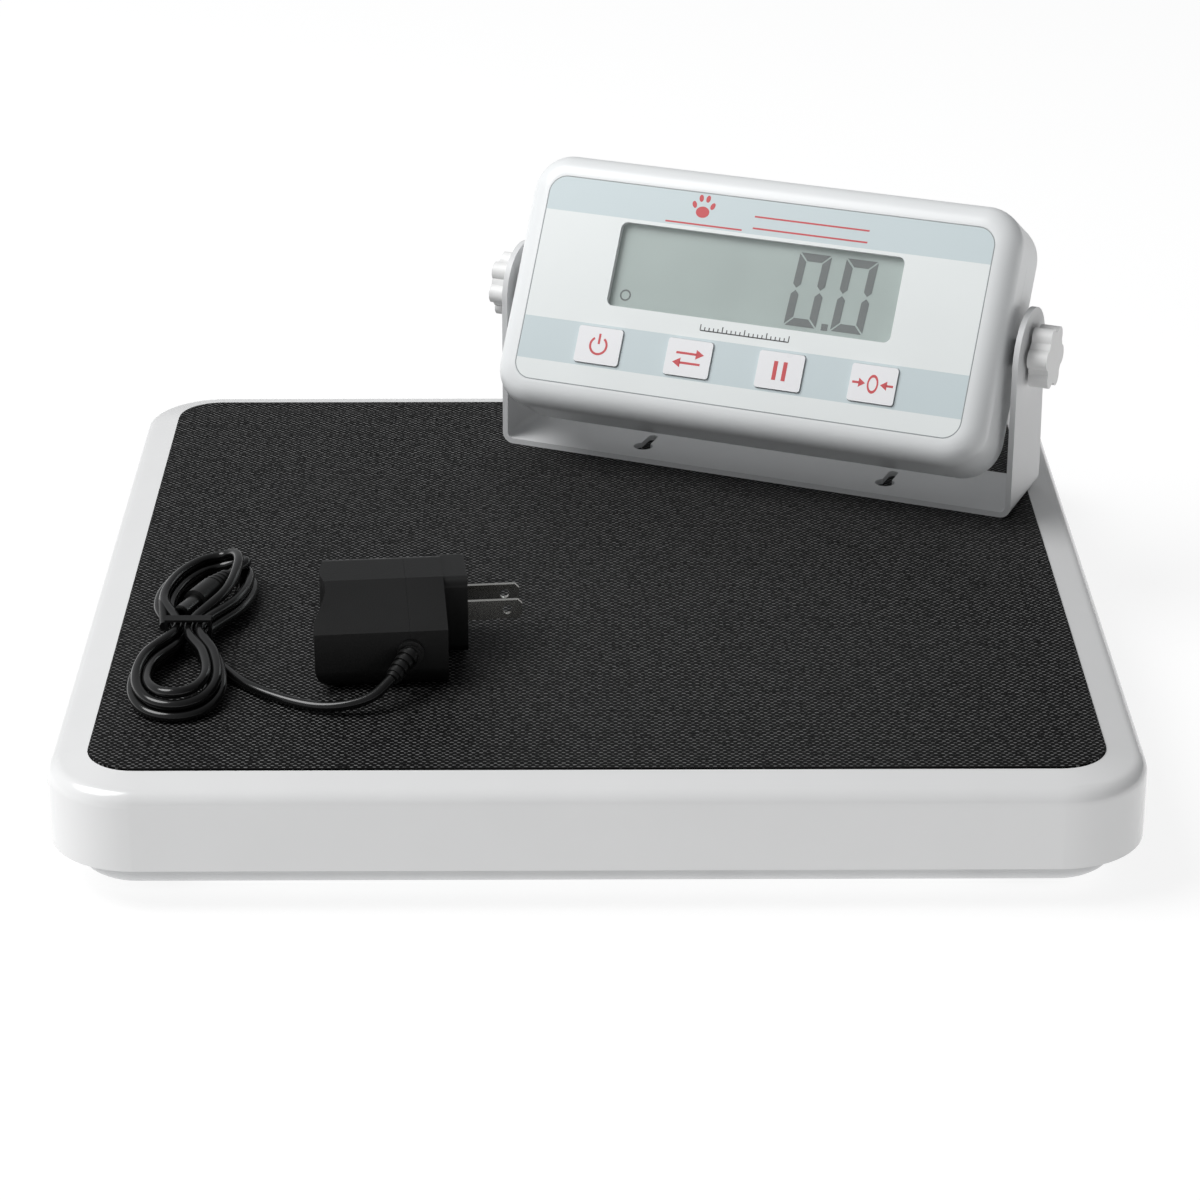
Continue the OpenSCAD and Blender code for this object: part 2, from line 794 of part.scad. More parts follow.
module adapter_blades() {
  color("Silver") on_adapter() for (side = [-1, 1])
    translate([0, blade_y + side * blade_pitch / 2, blade_z]) difference() {
      translate([case_l / 2 - 4, -blade_t / 2, -blade_w / 2])
        cube([block_x - case_l / 2 + 4 + blade_l, blade_t, blade_w]);
      translate([block_x + blade_l - 4.8, 0, 0]) rotate([90, 0, 0])
        cylinder(r = 1.6, h = 4, center = true);
      for (edge = [-1, 1]) translate([block_x + blade_l, 0, edge * blade_w / 2])
        rotate([0, 45, 0]) cube([2, 4, 2], center = true);
    }
}

module adapter_board() {
  color("DarkGreen") on_adapter() translate([-case_l / 2 + 8.5, -case_d / 2 + 5, 6])
    cube([28, 36, circuit_t]);
}

module adapter_coil() {
  color("Peru") on_adapter() {
    translate([-11, -8, 6 + circuit_t]) cube([15, 16, 12]);
    translate([-8, 14, 6 + circuit_t]) cylinder(r = 4, h = 13);
  }
}

module strain_relief() {
  color([0.1, 0.1, 0.1]) on_adapter() translate([seam_x, -case_d / 2, relief_z]) {
    rotate([90, 0, 0]) {
      translate([0, 0, 0.02]) cylinder(r = 4.2, h = 1.4);
      translate([0, 0, -3.6]) cylinder(r = 2.85, h = 4);
      translate([0, 0, -3.6]) cylinder(r = 4, h = 1.4);
      cylinder(r = 3, h = 2.4);
    }
    translate([0, -1.4, 0]) rotate([0, 0, -relief_swing]) rotate([90 + relief_droop, 0, 0])
      relief_sleeve();
  }
}

// ribbed sleeve that thins towards the lead
module relief_sleeve() {
  cylinder(r1 = 2.8, r2 = 2.1, h = relief_l);
  for (rib = [0 : 3]) translate([0, 0, 1.4 + 2.6 * rib]) cylinder(r = 3.3 - 0.2 * rib, h = 1.4);
}

// point between b and c on a smooth curve through a, b, c and d
function between(a, b, c, d, t) = 0.5 * (2 * b + (c - a) * t
  + (2 * a - 5 * b + 4 * c - d) * t * t + (3 * b - a - 3 * c + d) * t * t * t);

function route_point(r, i) = r[max(0, min(len(r) - 1, i))];

function smooth_route(r, steps) = concat([for (i = [0 : len(r) - 2], k = [0 : steps - 1])
  between(route_point(r, i - 1), r[i], r[i + 1], route_point(r, i + 2), k / steps)],
  [r[len(r) - 1]]);

function unit(v) = v / norm(v);

function heading(path, i) = unit(route_point(path, i + 1) - route_point(path, i - 1));

function ring(path, i) = let (along = heading(path, i), side = unit(cross(along, [0, 0, 1])),
  over = cross(side, along)) [for (k = [0 : lead_sides - 1])
  path[i] + lead_r * (cos(360 * k / lead_sides) * side + sin(360 * k / lead_sides) * over)];

module lead_run() {
  path = smooth_route(lead_route, lead_steps);
  last = len(path) - 1;
  n = lead_sides;
  points = [for (i = [0 : last]) each ring(path, i)];
  sides = [for (i = [0 : last - 1], k = [0 : n - 1])
    [i * n + k, i * n + (k + 1) % n, (i + 1) * n + (k + 1) % n, (i + 1) * n + k]];
  start = [for (k = [0 : n - 1]) n - 1 - k];
  end = [for (k = [0 : n - 1]) last * n + k];
  color([0.08, 0.08, 0.08]) translate([0, 0, deck_top])
    polyhedron(points = points, faces = concat(sides, [start], [end]));
}

// flat bar with round ends between two places, standing on the mat
module slab(a, b, r, h) {
  translate([0, 0, deck_top]) linear_extrude(height = h) hull() {
    translate(a) circle(r = r, $fn = 32);
    translate(b) circle(r = r, $fn = 32);
  }
}

module lead_hank() {
  color([0.08, 0.08, 0.08]) {
    slab([hank_x + 1, -18.5], [hank_x + 0.5, -42], 15.5, 5);
    slab([hank_x, -50], [hank_x - 0.5, -88], 6.2, 5);
    slab([hank_x - 1.5, -93], [hank_x - 1.5, -109.5], 16, 8);
  }
}

module lead_tie() {
  color("Black") translate([hank_x, tie_y, deck_top]) {
    difference() {
      translate([-7.4, -2, 0]) cube([14.8, 4, 11.4]);
      translate([-6.5, -3, -1]) cube([13, 6, 11.6]);
    }
    translate([-8, 1, 8]) rotate([-90, 0, 7]) cylinder(r = 1.4, h = 22);
  }
}

// stands the lead's far plug in its own frame, pointing along -Y
module on_plug() {
  translate([plug_x, plug_y, deck_top + plug_z]) rotate([0, 0, plug_turn]) children();
}

module plug_sleeve() {
  color([0.1, 0.1, 0.1]) on_plug() rotate([-90, 0, 0]) difference() {
    union() {
      cylinder(r = 4.2, h = 11);
      translate([0, 0, 11]) cylinder(r1 = 3.8, r2 = 2.2, h = 12);
      for (rib = [0 : 3]) translate([0, 0, 12 + 2.6 * rib]) cylinder(r = 4 - 0.35 * rib, h = 1.3);
    }
    translate([0, 0, -1]) cylinder(d = barrel_d, h = 5);
  }
}

module barrel_plug() {
  color("Silver") on_plug() rotate([-90, 0, 0]) difference() {
    translate([0, 0, -9.5]) cylinder(d = barrel_d - 0.04, h = 13.4);
    translate([0, 0, -10]) cylinder(r = 1.25, h = 11);
  }
}

base_tray();
feet();
foot_screws();
load_cells();
cell_screws();
load_pads();
summing_board();
summing_parts();
board_screws();
tray_gland();
deck_cover();
deck_plate();
deck_screws();
mat();
bracket();
front_shell();
rear_shell();
shell_screws();
face_label();
display_window();
display_panel();
circuit_board();
circuit_parts();
circuit_screws();
key_switches();
brass_inserts();
axle_washers();
dc_jack();
indicator_gland();
power_key();
unit_key();
hold_key();
tare_key();
left_stud();
left_knob();
right_stud();
right_knob();
adapter_case();
adapter_face();
adapter_blades();
adapter_board();
adapter_coil();
strain_relief();
lead_run();
lead_hank();
lead_tie();
plug_sleeve();
barrel_plug();
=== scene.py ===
import math

import bpy
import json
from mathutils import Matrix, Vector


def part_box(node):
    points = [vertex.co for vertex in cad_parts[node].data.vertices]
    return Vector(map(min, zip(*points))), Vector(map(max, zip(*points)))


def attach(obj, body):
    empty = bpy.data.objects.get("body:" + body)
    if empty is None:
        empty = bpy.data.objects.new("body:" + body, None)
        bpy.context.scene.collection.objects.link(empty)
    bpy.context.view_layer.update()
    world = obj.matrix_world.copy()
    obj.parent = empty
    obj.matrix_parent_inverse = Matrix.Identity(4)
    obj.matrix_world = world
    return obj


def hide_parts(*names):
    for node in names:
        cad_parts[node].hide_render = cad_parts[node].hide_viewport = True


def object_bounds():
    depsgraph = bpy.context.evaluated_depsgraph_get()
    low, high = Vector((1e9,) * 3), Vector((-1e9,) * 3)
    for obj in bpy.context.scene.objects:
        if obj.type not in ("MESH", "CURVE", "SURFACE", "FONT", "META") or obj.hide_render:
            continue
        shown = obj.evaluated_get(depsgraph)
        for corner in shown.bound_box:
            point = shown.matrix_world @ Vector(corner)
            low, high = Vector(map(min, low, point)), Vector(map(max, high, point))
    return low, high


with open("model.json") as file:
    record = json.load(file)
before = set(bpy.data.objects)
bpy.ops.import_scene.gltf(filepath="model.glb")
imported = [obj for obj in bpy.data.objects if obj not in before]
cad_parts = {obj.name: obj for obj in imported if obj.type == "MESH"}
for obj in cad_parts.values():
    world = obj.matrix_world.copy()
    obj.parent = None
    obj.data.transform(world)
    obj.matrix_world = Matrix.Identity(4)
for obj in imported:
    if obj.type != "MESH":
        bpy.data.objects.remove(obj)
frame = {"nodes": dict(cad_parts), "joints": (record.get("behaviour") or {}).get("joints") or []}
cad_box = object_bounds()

tray_grey = (0.66, 0.665, 0.67)


def add(made, kind, **values):
    """One more node of a finish, with the named inputs set."""
    node = made.node_tree.nodes.new("ShaderNode" + kind)
    for name, value in values.items():
        node.inputs[name].default_value = value
    return node


def link(made, start, end):
    made.node_tree.links.new(start, end)


def shader_of(made):
    return made.node_tree.nodes["Principled BSDF"]


def finish(name, colour, rough, metal=0.0, fade=0.93):
    """A new finish whose colour drifts a little over patches a few centimetres wide."""
    made = bpy.data.materials.new(name)
    made.use_nodes = True
    shader = shader_of(made)
    shader.inputs["Metallic"].default_value = metal
    place = add(made, "TexCoord")
    cloud = add(made, "TexNoise", Scale=38.0, Detail=4.0)
    link(made, place.outputs["Object"], cloud.inputs["Vector"])
    drift = add(made, "ValToRGB")
    drift.color_ramp.elements[0].position = 0.35
    drift.color_ramp.elements[0].color = (*[fade * c for c in colour], 1)
    drift.color_ramp.elements[1].position = 0.65
    drift.color_ramp.elements[1].color = (*colour, 1)
    link(made, cloud.outputs["Fac"], drift.inputs["Fac"])
    link(made, drift.outputs["Color"], shader.inputs["Base Color"])
    gloss = add(made, "MapRange")
    gloss.inputs["To Min"].default_value = 0.85 * rough
    gloss.inputs["To Max"].default_value = 1.15 * rough
    link(made, cloud.outputs["Fac"], gloss.inputs["Value"])
    link(made, gloss.outputs["Result"], shader.inputs["Roughness"])
    return made


def grain(made, size, depth, stretch=(1, 1, 1), detail=3.0):
    """A fine relief: bumps of that size and depth, in metres, longer where stretch is small."""
    place = add(made, "TexCoord")
    turned = add(made, "Mapping", Scale=stretch)
    fine = add(made, "TexNoise", Scale=1 / size, Detail=detail)
    relief = add(made, "Bump", Strength=1.0, Distance=depth)
    link(made, place.outputs["Object"], turned.inputs["Vector"])
    link(made, turned.outputs["Vector"], fine.inputs["Vector"])
    link(made, fine.outputs["Fac"], relief.inputs["Height"])
    link(made, relief.outputs["Normal"], shader_of(made).inputs["Normal"])
    return made


def dress(made, *names):
    """Gives these pieces of the frame a finish."""
    for name in names:
        for place in frame["nodes"][name].material_slots:
            place.material = made


def ease(width, *names):
    """Rounds the sharp edges of these pieces, as moulding and pressing leave them."""
    for name in names:
        edge = frame["nodes"][name].modifiers.new("edge", "BEVEL")
        edge.width = width
        edge.segments = 2
        edge.limit_method = "ANGLE"
        edge.angle_limit = math.radians(40)
        edge.harden_normals = False


dress(grain(finish("tray_coat", tray_grey, 0.42), 0.0009, 0.00006), "base_tray")

# Feet: four soft rubber discs under the corners, each held by one zinc-plated
# screw through the tray. The rubber is matt black and picks up dust.
foot_rubber = grain(finish("foot_rubber", (0.022, 0.022, 0.023), 0.75, fade=0.7), 0.0006, 0.00008)
zinc = grain(finish("zinc_plate", (0.62, 0.62, 0.63), 0.3, metal=1.0), 0.0005, 0.00002)
dress(foot_rubber, "feet")
dress(zinc, "foot_screws", "cell_screws", "board_screws", "deck_screws")
ease(0.0008, "feet")

# Load cells: four milled aluminium beams on the tray, one to a corner, with a
# rubber pad on each free end that the deck rests on. Cutter marks run along X.
milled = grain(finish("milled_alloy", (0.68, 0.69, 0.7), 0.36, metal=1.0), 0.0006, 0.00003, (0.08, 1, 1))
dress(milled, "load_cells")
dress(foot_rubber, "load_pads")

# Summing board: a small circuit board in the middle of the tray that joins the
# four cells. Green solder mask on glass fibre, moulded black parts on it.
board_green = grain(finish("solder_mask", (0.02, 0.16, 0.07), 0.35, fade=0.6), 0.0004, 0.00003)
part_black = grain(finish("moulded_parts", (0.03, 0.03, 0.033), 0.5), 0.0004, 0.00003)
nylon = grain(finish("black_nylon", (0.02, 0.02, 0.021), 0.48), 0.0005, 0.00004)
dress(board_green, "summing_board", "circuit_board", "adapter_board")
dress(part_black, "summing_parts", "circuit_parts", "key_switches")
dress(nylon, "tray_gland", "dc_jack", "indicator_gland")

# Deck plate: rolled steel under the moulded cover, which spreads the load on
# the four cells. It is bare, oiled metal with the mill's lines along X.
rolled = grain(finish("rolled_steel", (0.45, 0.46, 0.48), 0.38, metal=1.0), 0.0012, 0.00004, (0.05, 1, 1))
dress(rolled, "deck_plate")

# Deck cover: one white moulding in glossy plastic with a raised rim and a deep
# skirt. Its surface has the faint waviness of a large moulding.
cover_white = grain(finish("cover_white", (0.80, 0.80, 0.80), 0.17, fade=0.985), 0.011, 0.00005, detail=1.0)
shader_of(cover_white).inputs["Coat Weight"].default_value = 0.25
shader_of(cover_white).inputs["Coat Roughness"].default_value = 0.08
dress(cover_white, "deck_cover")

# Mat: black vinyl glued into the deck's recess, embossed with short bars that
# stand in staggered rows like a weave. Each bar's top is painted a lighter grey as a glint, broken up by
# fine flecks.
bar_pitch = 0.00228
row_pitch = 0.00119
end_rise = 3.2
side_rise = 2.6
bar_round = 0.2
bar_height = 0.00022
mat_black = (0.002, 0.002, 0.002, 1)
# painted glint: the lighter grey laid on the top of each bar
glint_grey = (0.21, 0.21, 0.21, 1)


def math_step(made, sort, first, second=None, third=None):
    """One sum on two sockets or numbers, as a node. Returns its result."""
    node = made.node_tree.nodes.new("ShaderNodeMath")
    node.operation = sort
    for place, value in enumerate((first, second, third)):
        if isinstance(value, (int, float)):
            node.inputs[place].default_value = value
        elif value is not None:
            link(made, value, node.inputs[place])
    return node.outputs[0]


def woven_mat():
    made = bpy.data.materials.new("mat_weave")
    made.use_nodes = True
    place = add(made, "TexCoord")
    apart = add(made, "SeparateXYZ")
    link(made, place.outputs["Object"], apart.inputs["Vector"])
    row = math_step(made, "DIVIDE", apart.outputs["Y"], row_pitch)
    odd = math_step(made, "FLOORED_MODULO", math_step(made, "FLOOR", row), 2.0)
    column = math_step(made, "DIVIDE", apart.outputs["X"], bar_pitch)
    along = math_step(made, "MULTIPLY_ADD", odd, 0.5, column)
    across = math_step(made, "PINGPONG", row, 0.5)
    length = math_step(made, "PINGPONG", along, 0.5)
    ends = math_step(made, "SMOOTH_MIN", math_step(made, "MULTIPLY", length, end_rise), 1.0, bar_round)
    sides = math_step(made, "SMOOTH_MIN", math_step(made, "MULTIPLY", across, side_rise), 1.0, bar_round)
    hump = math_step(made, "MULTIPLY", ends, sides)
    wear = add(made, "TexNoise", Scale=9.0, Detail=5.0)
    link(made, place.outputs["Object"], wear.inputs["Vector"])
    fleck = add(made, "TexNoise", Scale=900.0, Detail=1.0)
    link(made, place.outputs["Object"], fleck.inputs["Vector"])
    # the ramp paints the glint: black between the bars, lighter grey on the bar tops
    shade = add(made, "ValToRGB")
    shade.color_ramp.elements[0].position = 0.7
    shade.color_ramp.elements[0].color = mat_black
    shade.color_ramp.elements[1].position = 1.0
    shade.color_ramp.elements[1].color = glint_grey
    # fine flecks break up the painted glint on the bar tops
    glint_flecks = math_step(made, "MULTIPLY_ADD", fleck.outputs["Fac"], 0.9, 0.5)
    link(made, math_step(made, "MULTIPLY", hump, glint_flecks), shade.inputs["Fac"])
    link(made, shade.outputs["Color"], shader_of(made).inputs["Base Color"])
    gloss = add(made, "MapRange")
    gloss.inputs["To Min"].default_value = 0.42
    gloss.inputs["To Max"].default_value = 0.6
    link(made, wear.outputs["Fac"], gloss.inputs["Value"])
    link(made, gloss.outputs["Result"], shader_of(made).inputs["Roughness"])
    relief = add(made, "Bump", Strength=0.6, Distance=bar_height)
    link(made, hump, relief.inputs["Height"])
    link(made, relief.outputs["Normal"], shader_of(made).inputs["Normal"])
    shader_of(made).inputs["Specular IOR Level"].default_value = 0.08
    return made


dress(woven_mat(), "mat")

# Bracket: a U of 2 mm sheet steel with round arm ends and two keyholes for a
# wall. It is powder coated pale grey with a fine orange-peel surface.
bracket_coat = grain(finish("bracket_coat", (0.67, 0.675, 0.68), 0.4, fade=0.96), 0.0007, 0.00005)
dress(bracket_coat, "bracket")
ease(0.00035, "bracket")

# Indicator shells: two white mouldings screwed together from the back. Brass
# inserts moulded into the sides take the knobs' studs through thin washers.
shell_white = grain(finish("shell_white", (0.80, 0.815, 0.82), 0.3, fade=0.985), 0.0005, 0.00002)
brass = grain(finish("brass", (0.75, 0.52, 0.2), 0.3, metal=1.0), 0.0004, 0.00004)
dress(shell_white, "front_shell", "rear_shell")
dress(zinc, "shell_screws", "circuit_screws")
dress(brass, "brass_inserts")
dress(foot_rubber, "axle_washers")

# Display: a reflective liquid crystal panel, grey-green, behind a clear window
# let into the face. It shows 0.0 and a small ring that means the load is still.
import bmesh
from mathutils import Matrix, Vector

joints = {joint["name"]: joint for joint in frame["joints"]}
face_right = Vector(joints["indicator_tilt"]["axis"]).normalized()
face_out = -Vector(joints["power_press"]["axis"]).normalized()
face_up = face_out.cross(face_right)
tilt_place = Vector(joints["indicator_tilt"]["pos_m"])
axis_depth = 0.025
face_middle = tilt_place + axis_depth * face_out
face_turn = Matrix((face_right, face_up, face_out)).transposed().to_4x4()
face_frame = Matrix.Translation(face_middle) @ face_turn
segment_depth = -0.00265
segment_thick = 0.00004
digit_w = 0.0118
digit_h = 0.0263
digit_lean = 0.0012
digit_feet = ((0.0126, -0.0052), (0.0298, -0.0052))
bar_w = 0.0029
bar_gap = 0.0004
point_w = 0.0024
point_x = 0.0264
point_y = -0.0055
still_ring = (-0.0477, -0.0024, 0.0021, 0.0015)


def printed(name, outlines, depth, thickness, made, body):
    """Thin raised print on the indicator's face: flat outlines in its X and Y, one face each."""
    shape = bmesh.new()
    for outline in outlines:
        low = [shape.verts.new((x, y, depth)) for x, y in outline]
        high = [shape.verts.new((x, y, depth + thickness)) for x, y in outline]
        count = len(outline)
        shape.faces.new(high)
        shape.faces.new(low[::-1])
        for here in range(count):
            after = (here + 1) % count
            shape.faces.new((low[here], low[after], high[after], high[here]))
    bmesh.ops.recalc_face_normals(shape, faces=shape.faces)
    shape.transform(face_frame)
    mesh = bpy.data.meshes.new(name)
    shape.to_mesh(mesh)
    shape.free()
    mesh.materials.append(made)
    piece = bpy.data.objects.new(name, mesh)
    bpy.context.scene.collection.objects.link(piece)
    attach(piece, body)


def ring_parts(x, y, outer, inner, start=0, turn=360, steps=24):
    """A flat ring, or a part of one, as short four-cornered pieces."""
    parts = []
    for step in range(steps):
        first = math.radians(start + turn * step / steps)
        last = math.radians(start + turn * (step + 1) / steps)
        parts.append([
            (x + outer * math.cos(first), y + outer * math.sin(first)),
            (x + outer * math.cos(last), y + outer * math.sin(last)),
            (x + inner * math.cos(last), y + inner * math.sin(last)),
            (x + inner * math.cos(first), y + inner * math.sin(first)),
        ])
    return parts


def zero_digit(left, foot):
    """The six lit bars of a nought, mitred where they meet and leaning a little to the right."""
    across = [bar_gap, bar_w + bar_gap, digit_w - bar_w - bar_gap, digit_w - bar_gap]
    outlines = []
    for base, rise in ((0, 1), (digit_h, -1)):
        level = [base + rise * y for y in (0, bar_w, digit_h / 2 - bar_w / 2, digit_h / 2)]
        outlines.append([(across[0], level[0]), (across[1], level[1]),
                         (across[2], level[1]), (across[3], level[0])])
        gap = rise * bar_gap
        for outer, inner in ((0, bar_w), (digit_w, digit_w - bar_w)):
            edge = (outer + inner) / 2
            outlines.append([(outer, level[0] + gap), (inner, level[1] + gap), (inner, level[2] - gap),
                             (edge, level[3] - gap), (outer, level[2] - gap)])
    return [[(left + x + digit_lean * y / digit_h, foot + y) for x, y in outline] for outline in outlines]


panel_green = grain(finish("display_panel", (0.40, 0.468, 0.447), 0.22, fade=0.95), 0.0004, 0.000004)
dress(panel_green, "display_panel")
segment_grey = grain(finish("lit_segments", (0.10, 0.115, 0.115), 0.4), 0.0004, 0.000004)
lit = [outline for left, foot in digit_feet for outline in zero_digit(left, foot)]
lit.append([(point_x, point_y), (point_x + point_w, point_y),
            (point_x + point_w, point_y + point_w), (point_x, point_y + point_w)])
lit += ring_parts(*still_ring)
printed("lit_segments", lit, segment_depth, segment_thick, segment_grey, "indicator")
window_clear = grain(finish("window_clear", (0.9, 0.93, 0.92), 0.06), 0.004, 0.000004)
shader_of(window_clear).inputs["Alpha"].default_value = 0.05
dress(window_clear, "display_window")

# Face label: polycarbonate film printed from behind, stuck in a shallow recess.
# White, with two grey-blue bands, a hairline border and plain red and black marks.
label_w = 0.1666
label_h = 0.0748
label_corner = 0.0065
hairline = 0.0003
bands = ((0.0, 0.0127), (0.052, 0.0674))
film_white = (0.80, 0.83, 0.825)
band_blue = (0.585, 0.665, 0.685)
border_grey = (0.33, 0.36, 0.37)


def laid_over(made, amount, under, colour):
    """A plain colour over another, where the amount is 1."""
    mix = add(made, "Mix")
    mix.data_type = "RGBA"
    mix.inputs[7].default_value = (*colour, 1)
    link(made, amount, mix.inputs[0])
    link(made, under, mix.inputs[6])
    return mix.outputs[2]


def label_film():
    """The printed film: bands across it, and a border that follows its round corners."""
    made = finish("label_film", film_white, 0.32, fade=0.99)
    tint = shader_of(made).inputs["Base Color"].links[0].from_socket
    place = add(made, "TexCoord")
    local = add(made, "VectorMath")
    local.operation = "SUBTRACT"
    local.inputs[1].default_value = face_middle
    link(made, place.outputs["Object"], local.inputs[0])
    away = []
    for way in (face_right, face_up):
        along = add(made, "VectorMath")
        along.operation = "DOT_PRODUCT"
        along.inputs[1].default_value = way
        link(made, local.outputs["Vector"], along.inputs[0])
        away.append(along.outputs["Value"])
    for top, bottom in bands:
        middle = label_h / 2 - (top + bottom) / 2
        inside = math_step(made, "COMPARE", away[1], middle, (bottom - top) / 2)
        tint = laid_over(made, inside, tint, band_blue)
    over = []
    for value, size in zip(away, (label_w, label_h)):
        far = math_step(made, "SUBTRACT", math_step(made, "ABSOLUTE", value), size / 2 - label_corner)
        over.append(math_step(made, "POWER", math_step(made, "MAXIMUM", far, 0.0), 2.0))
    reach = math_step(made, "SQRT", math_step(made, "ADD", over[0], over[1]))
    edge = math_step(made, "GREATER_THAN", reach, label_corner - hairline)
    link(made, laid_over(made, edge, tint, border_grey), shader_of(made).inputs["Base Color"])
    return made


dress(label_film(), "face_label")
ink_depth = -0.00003
ink_thick = 0.00006
emblem = (-0.0241, 0.0318, 0.0082)
rules = ((-0.0373, -0.0084, 0.0257), (-0.0045, 0.0380, 0.0311), (-0.0045, 0.0380, 0.0269))
rule_w = 0.0006
scale_left = -0.0165
scale_y = -0.0117
scale_step = 0.00165
scale_steps = 20
scale_line = 0.0004
tick_w = 0.00035
long_tick = 0.0022
short_tick = 0.0013


def bar(x0, y0, x1, y1, width):
    """A straight bar between two places."""
    start, end = Vector((x0, y0)), Vector((x1, y1))
    way = (end - start).normalized()
    side = Vector((-way.y, way.x)) * width / 2
    return [tuple(corner) for corner in (start - side, end - side, end + side, start + side)]


def disc(x, y, wide, high, turn=0.0, steps=20):
    """A round or oval dot."""
    points = []
    for step in range(steps):
        angle = 2 * math.pi * step / steps
        flat = Vector((wide / 2 * math.cos(angle), high / 2 * math.sin(angle)))
        flat.rotate(Matrix.Rotation(math.radians(turn), 2))
        points.append((x + flat.x, y + flat.y))
    return points


def paw(x, y, size):
    """A paw print: one broad pad with four toes."""
    toes = ((-0.42, 0.12, 22), (-0.16, 0.42, 8), (0.16, 0.42, -8), (0.42, 0.12, -22))
    marks = [disc(x, y - 0.18 * size, 0.62 * size, 0.5 * size)]
    for across, up, turn in toes:
        marks.append(disc(x + across * size, y + up * size, 0.2 * size, 0.32 * size, turn))
    return marks


ink_red = grain(finish("red_ink", (0.60, 0.075, 0.085), 0.45), 0.0004, 0.000004)
ink_black = grain(finish("black_ink", (0.03, 0.03, 0.032), 0.45), 0.0004, 0.000004)
marks = paw(*emblem) + [bar(x0, y, x1, y, rule_w) for x0, x1, y in rules]
printed("face_marks", marks, ink_depth, ink_thick, ink_red, "indicator")
ticks = [bar(scale_left, scale_y, scale_left + scale_steps * scale_step, scale_y, scale_line)]
for step in range(scale_steps + 1):
    tall = long_tick if step % 5 == 0 else short_tick
    x = scale_left + step * scale_step
    ticks.append(bar(x, scale_y, x, scale_y + tall, tick_w))
printed("scale_marks", ticks, ink_depth, ink_thick, ink_black, "indicator")

# Keys: four white caps that stand just proud of the film and press a switch
# behind it. Each carries a red sign: power, change of unit, hold and zero.
key_white = grain(finish("key_white", (0.86, 0.86, 0.875), 0.28, fade=0.99), 0.0005, 0.00001)
key_names = ("power_key", "unit_key", "hold_key", "tare_key")
first_key = -0.0528
key_pitch = 0.0342
key_y = -0.0223
key_top = 0.0008
sign_sunk = 0.00002
sign_thick = 0.00005
sign_size = 1.35
stroke = 0.0006


def wedge(tip_x, tip_y, length, half, way):
    """An arrow head pointing along X, to the right where way is 1."""
    back = tip_x - way * length
    return [(tip_x, tip_y), (back, tip_y + way * half), (back, tip_y - way * half)]


power_sign = ring_parts(0, 0, 0.0026, 0.002, start=125, turn=290) + [bar(0, 0.0004, 0, 0.0032, stroke)]
unit_sign = []
for way, y in ((1, 0.0012), (-1, -0.0014)):
    unit_sign.append(bar(-way * 0.0035, y, way * 0.0022, y, stroke))
    unit_sign.append(wedge(way * 0.0042, y, 0.0022, 0.0013, way))
hold_sign = [bar(x, -0.0025, x, 0.0025, 0.0011) for x in (-0.0013, 0.0013)]
zero_sign = [[(0.75 * x, 1.25 * y) for x, y in part] for part in ring_parts(0, 0, 0.002, 0.0014)]
for way in (1, -1):
    zero_sign.append(bar(-way * 0.0055, 0, -way * 0.0035, 0, stroke))
    zero_sign.append(wedge(-way * 0.002, 0, 0.0018, 0.0012, way))
signs = (power_sign, unit_sign, hold_sign, zero_sign)
for number, (key, sign) in enumerate(zip(key_names, signs)):
    middle = first_key + number * key_pitch
    moved = [[(sign_size * x + middle, sign_size * y + key_y) for x, y in part] for part in sign]
    printed(key.replace("key", "sign"), moved, key_top - sign_sunk, sign_thick, ink_red, key)
dress(key_white, *key_names)
ease(0.0005, *key_names)

# Knobs: a zinc-plated stud screwed into each side of the indicator, with a
# six-lobed star knob moulded in off-white plastic that clamps the arm.
knob_white = grain(finish("knob_white", (0.82, 0.82, 0.815), 0.42, fade=0.96), 0.0007, 0.00004)
dress(zinc, "left_stud", "right_stud")
dress(knob_white, "left_knob", "right_knob")
ease(0.0007, "left_knob", "right_knob")

# Adapter: a black plug-in supply. Two spark-textured mouldings meet in a seam
# behind the plug's face, and hold two nickel-plated blades and the board inside.
case_black = grain(finish("adapter_black", (0.006, 0.006, 0.006), 0.42, fade=0.8), 0.00045, 0.00005)
shader_of(case_black).inputs["Specular IOR Level"].default_value = 0.3
nickel = grain(finish("nickel_plate", (0.60, 0.59, 0.56), 0.2, metal=1.0), 0.002, 0.000004, (0.2, 1, 1))
tape = grain(finish("coil_tape", (0.65, 0.48, 0.08), 0.4), 0.0008, 0.00003)
dress(case_black, "adapter_case", "adapter_face")
dress(nickel, "adapter_blades")
dress(tape, "adapter_coil")
ease(0.0006, "adapter_case", "adapter_face")
ease(0.00025, "adapter_blades")

# Lead: 1.2 m of limp round cable in glossy black vinyl, 3.5 mm thick. It leaves
# the ribbed relief, lies on the mat, and is wound in a long hank under a tie.
# It goes round four times and ends in the plug that lies inside the far loop.
import numpy as np

mm = 0.001
lead_d = 3.5
lead_r = lead_d / 2
lead_step = 2.6
lead_route = [
    (-63.8, -110.7, 8.9), (-70.5, -116.5, 5), (-82, -117.5, 2.6), (-94, -112.7, 1.85),
    (-109, -101, 1.8), (-118, -88, 1.8), (-123.5, -77, 1.8), (-126, -69.5, 2),
]
crossing = [(-129, -58, 1.8), (-134.5, -48, 1.8)]
hank_x = -131
tie_y = -69.5
far_reach = 60
near_reach = 53.5
lean = 6
over_plug = 3.8
turns = 4
stations = 16
first_station = 2
spare_stations = 4
loop_width = 16
swells = ((20, 0.75), (19.5, 0.65), (21, 1.1), (20.5, 0.8))
loop_lanes = ((4.2, 1.9), (0, 1.8), (1.2, 5.2), (3.6, 8.3), (4.9, 5.3))
left_slots = ((3.5, 1.8), (3.0, 1.8), (4.6, 5.0), (3.4, 8.2), (1.4, 5.2))
